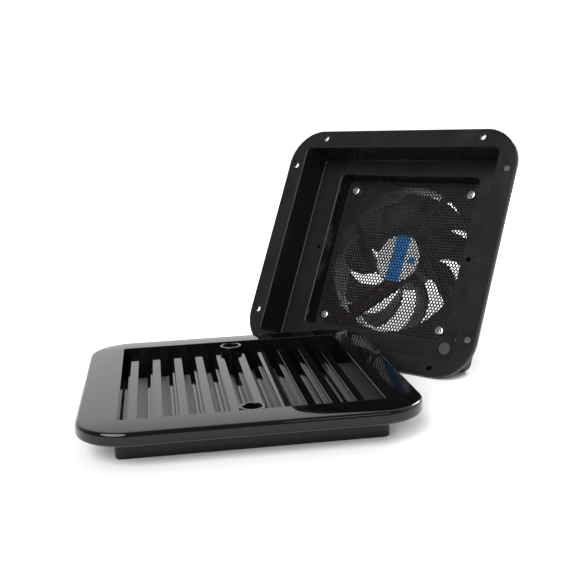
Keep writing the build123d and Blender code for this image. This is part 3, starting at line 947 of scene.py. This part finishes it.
# ---- fan -----------------------------------------------------------------------------
def fan_shell():
    """Two square flanges joined by the bore ring."""
    square = (0, 0, fan_half, fan_half, fan_corner)
    bore = (0, 0, bore_radius, bore_radius, bore_radius)
    flare = (0, 0, flare_radius, flare_radius, flare_radius)
    ring = (0, 0, ring_radius, ring_radius, ring_radius)
    corners = [
        (*bore, 0.0, 0.5),
        (*square, 0.0, 0.5),
        (*square, -fan_flange, 0.4),
        (*ring, -fan_flange, 0),
        (*ring, fan_flange - fan_depth, 0),
        (*square, fan_flange - fan_depth, 0.4),
        (*square, -fan_depth, 0.2),
        (*flare, -fan_depth, 0.2),
        (*bore, -flare_start, 0.5),
    ]
    rings = [outline(*values, steps=24) for values in softened(corners, steps=3)]
    return solid(rings, ring_shaped=True)


def bar(angle, distances, offset, section):
    """Straight bar beside the axis, from its section as (side, level) pairs."""
    rings = []
    for distance in distances:
        ring = []
        for side, level in section:
            ring.append((*beside_axis(angle, distance, offset + side), level))
        rings.append(ring)
    return solid(rings)


def fan_strut(angle, offset, width):
    """One strut with rounded long edges, from beside the motor to the ring."""
    half = width / 2
    section = [
        (-half, -strut_front, 0.5),
        (half, -strut_front, 0.5),
        (half, -strut_back, 0.9),
        (-half, -strut_back, 0.9),
    ]
    return bar(angle, (0.0, strut_length), offset, softened(section, steps=3))


def motor_base():
    """Round base that carries the motor, with its bearing tube."""
    profile = softened(
        [
            (axis_radius, -motor_base_front, 0),
            (motor_base_radius, -motor_base_front, 0.4),
            (motor_base_radius, -motor_base_back, 0.4),
            (bearing_tube_radius, -motor_base_back, 0.4),
            (bearing_tube_radius, -bearing_tube_back, 0.3),
            (bearing_tube_bore, -bearing_tube_back, 0),
            (bearing_tube_bore, -bearing_tube_front, 0),
            (axis_radius, -bearing_tube_front, 0),
        ]
    )
    return turned_solid(profile, steps=14)


def lead_channel():
    """Channel for the leads along one strut, as the tool that cuts it."""
    half = lead_channel_half
    section = [
        (-half, 1.0),
        (half, 1.0),
        (half, -lead_channel_depth),
        (-half, -lead_channel_depth),
    ]
    channel = bar(lead_angle, (lead_start, lead_channel_end), lead_offset, section)
    entry = beside_axis(lead_angle, lead_start, lead_offset)
    return [channel, drill(entry, half, 1.0, -strut_back - 0.5)]


def build_fan_frame():
    angles = [strut_angle + 90.0 * index for index in range(4)]
    struts = [fan_strut(angle, strut_offset, strut_width) for angle in angles]
    struts.append(fan_strut(strut_angle + 180.0, lead_strut_offset, lead_strut_width))
    mesh = combined(fan_shell(), [*struts, motor_base()], "UNION")
    ends = (1.0, -fan_depth - 1.0)
    holes = [drill(place, fan_screw_hole, *ends) for place in fan_screw_places()]
    mesh = combined(mesh, [*holes, *lead_channel()], "DIFFERENCE")
    look = looks["fan_plastic"]
    piece("fan_frame_moulding", mesh, fan_space, look, "housing", "fan_frame")


def blade(first_angle):
    """One swept blade with a rounded, tapering section."""
    rings = []
    for step in range(blade_rings):
        radius = blade_root + (blade_tip - blade_root) * step / (blade_rings - 1)
        height = (radius - hub_radius) / blade_reach
        lead = math.radians(first_angle + blade_lead * height - blade_sweep * height**2)
        middle = []
        for part in range(chord_steps + 1):
            share = part / chord_steps
            bow = blade_bow * math.sin(math.pi * share)
            angle = lead - math.radians(blade_wrap) * (share - bow)
            middle.append(Vector((radius * angle, -blade_front - blade_axial * share)))
        front_side = []
        back_side = []
        for part, point in enumerate(middle):
            share = part / chord_steps
            before = middle[max(part - 1, 0)]
            after = middle[min(part + 1, chord_steps)]
            run = (after - before).normalized()
            normal = Vector((-run.y, run.x))
            fullness = math.sin(math.pi * min(share * 1.25, 1.0 - (1.0 - share) * 0.9))
            half = blade_edge_half + blade_swell * math.sqrt(max(0.0, fullness))
            front_side.append(point + normal * half)
            back_side.append(point - normal * half)
        ring = []
        for flat in front_side + back_side[::-1]:
            angle = flat.x / radius
            ring.append((radius * math.cos(angle), radius * math.sin(angle), flat.y))
        rings.append(ring)
    return solid(rings)


def hub_cup():
    """Hub: a cup over the motor with a boss for the shaft."""
    profile = softened(
        [
            (axis_radius, -hub_back, 0),
            (hub_radius, -hub_back, 1.4),
            (hub_radius, -hub_front, 0.3),
            (hub_inner, -hub_front, 0.2),
            (hub_inner, -hub_end, 0.4),
            (hub_boss_radius, -hub_end, 0.3),
            (hub_boss_radius, -hub_boss_front, 0.2),
            (shaft_radius, -hub_boss_front, 0),
            (shaft_radius, -shaft_back, 0),
            (axis_radius, -shaft_back, 0),
        ]
    )
    return turned_solid(profile, steps=18)


def build_impeller():
    blades = [blade(blade_first + 360.0 / blade_count * index) for index in range(blade_count)]
    mesh = combined(hub_cup(), blades, "UNION")
    look = looks["fan_plastic"]
    piece("impeller_moulding", mesh, fan_space, look, "impeller", "impeller", sharp=40.0)


# ---- studio --------------------------------------------------------------------------
camera_place = Vector((-0.104310, -0.594299, 0.17817))
camera_yaw = 8.36            # degrees to the right of +Y
camera_pitch = -11.08
camera_roll = -1.94
camera_lens = 55.92          # millimetres, on the sensor below
sensor_width = 36.0
world_bright_side = (0.45, 0.85, -0.3)
world_dim = 0.2
world_bright = 1.2
key_direction = (-0.5, -0.6, 0.62)
key_strength = 4.4
key_angle = 48.0             # apparent width of the key light, degrees
spot_place = (-0.16, -0.62, 0.24)
spot_power = 14.0
spot_cone = 5.5              # degrees


def build_camera():
    yaw = math.radians(camera_yaw)
    pitch = math.radians(camera_pitch)
    roll = math.radians(camera_roll)
    level = math.cos(pitch)
    forward = Vector((math.sin(yaw) * level, math.cos(yaw) * level, math.sin(pitch)))
    right = Vector((math.cos(yaw), -math.sin(yaw), 0))
    up = right.cross(forward)
    rolled_right = right * math.cos(roll) + up * math.sin(roll)
    rolled_up = up * math.cos(roll) - right * math.sin(roll)
    data = bpy.data.cameras.new("camera")
    data.lens = camera_lens
    data.sensor_width = sensor_width
    data.clip_start = 0.01
    camera = bpy.data.objects.new("camera", data)
    rotation = Matrix((rolled_right, rolled_up, -forward)).transposed().to_4x4()
    camera.matrix_world = Matrix.Translation(camera_place) @ rotation
    bpy.context.scene.collection.objects.link(camera)
    bpy.context.scene.camera = camera


def build_floor():
    shape = bmesh.new()
    bmesh.ops.create_grid(shape, x_segments=1, y_segments=1, size=6.0)
    mesh = bpy.data.meshes.new("floor")
    shape.to_mesh(mesh)
    shape.free()
    floor = bpy.data.objects.new("floor", mesh)
    bpy.context.scene.collection.objects.link(floor)
    look = Look("floor_paper")
    look.colour(look.noise(2.0), (0.86, 0.86, 0.86), (0.88, 0.88, 0.88))
    look.settings(roughness=0.9, specular_ior_level=0.1)
    mesh.materials.append(look.material)


def build_world():
    """White background; as light, bright low down and behind, dimmer overhead and in front."""
    world = bpy.data.worlds.new("studio")
    bpy.context.scene.world = world
    world.use_nodes = True
    tree = world.node_tree
    nodes = tree.nodes
    background = nodes["Background"]
    place = nodes.new("ShaderNodeTexCoord")
    product = nodes.new("ShaderNodeVectorMath")
    product.operation = "DOT_PRODUCT"
    product.inputs[1].default_value = Vector(world_bright_side).normalized()
    tree.links.new(place.outputs["Generated"], product.inputs[0])
    level = nodes.new("ShaderNodeMapRange")
    level.interpolation_type = "SMOOTHSTEP"
    level.inputs["From Min"].default_value = -0.5
    level.inputs["From Max"].default_value = 0.5
    level.inputs["To Min"].default_value = world_dim
    level.inputs["To Max"].default_value = world_bright
    tree.links.new(product.outputs["Value"], level.inputs["Value"])
    path = nodes.new("ShaderNodeLightPath")
    seen = nodes.new("ShaderNodeMath")
    seen.operation = "MAXIMUM"
    tree.links.new(level.outputs["Result"], seen.inputs[0])
    tree.links.new(path.outputs["Is Camera Ray"], seen.inputs[1])
    tree.links.new(seen.outputs[0], background.inputs["Strength"])
    background.inputs["Color"].default_value = (1, 1, 1, 1)


def build_sun():
    """Large soft key light from the front left."""
    data = bpy.data.lights.new("key", "SUN")
    data.energy = key_strength
    data.angle = math.radians(key_angle)
    light = bpy.data.objects.new("key", data)
    light.rotation_euler = Vector(key_direction).to_track_quat("Z", "Y").to_euler()
    bpy.context.scene.collection.objects.link(light)


def softbox(name, place, target, size, power):
    data = bpy.data.lights.new(name, "AREA")
    data.shape = "RECTANGLE"
    data.size = size[0]
    data.size_y = size[1]
    data.energy = power
    light = bpy.data.objects.new(name, data)
    light.location = place
    aim = Vector(target) - Vector(place)
    light.rotation_euler = aim.to_track_quat("-Z", "Y").to_euler()
    bpy.context.scene.collection.objects.link(light)


def build_spot():
    """Small soft spot from beside the camera, on the fan's hub."""
    data = bpy.data.lights.new("hub_spot", "SPOT")
    data.energy = spot_power
    data.spot_size = math.radians(spot_cone)
    data.spot_blend = 0.7
    data.shadow_soft_size = 0.02
    light = bpy.data.objects.new("hub_spot", data)
    light.location = spot_place
    aim = fan_origin - light.location
    light.rotation_euler = aim.to_track_quat("-Z", "Y").to_euler()
    bpy.context.scene.collection.objects.link(light)


paint_cad_nodes()
build_cover()
build_housing()
build_plug()
build_guard()
build_screws()
build_fan_frame()
build_impeller()
build_camera()
build_floor()
build_world()
build_sun()
build_spot()
softbox("softbox_back", (1.35, 1.35, 1.1), (0.2, 0.4, 0.0), (0.9, 0.7), 55.0)
softbox("softbox_strip", (0.37, -1.19, 0.78), (0.05, 0.1, 0.1), (0.5, 0.2), 1.3)

bpy.context.scene.view_settings.view_transform = "Standard"
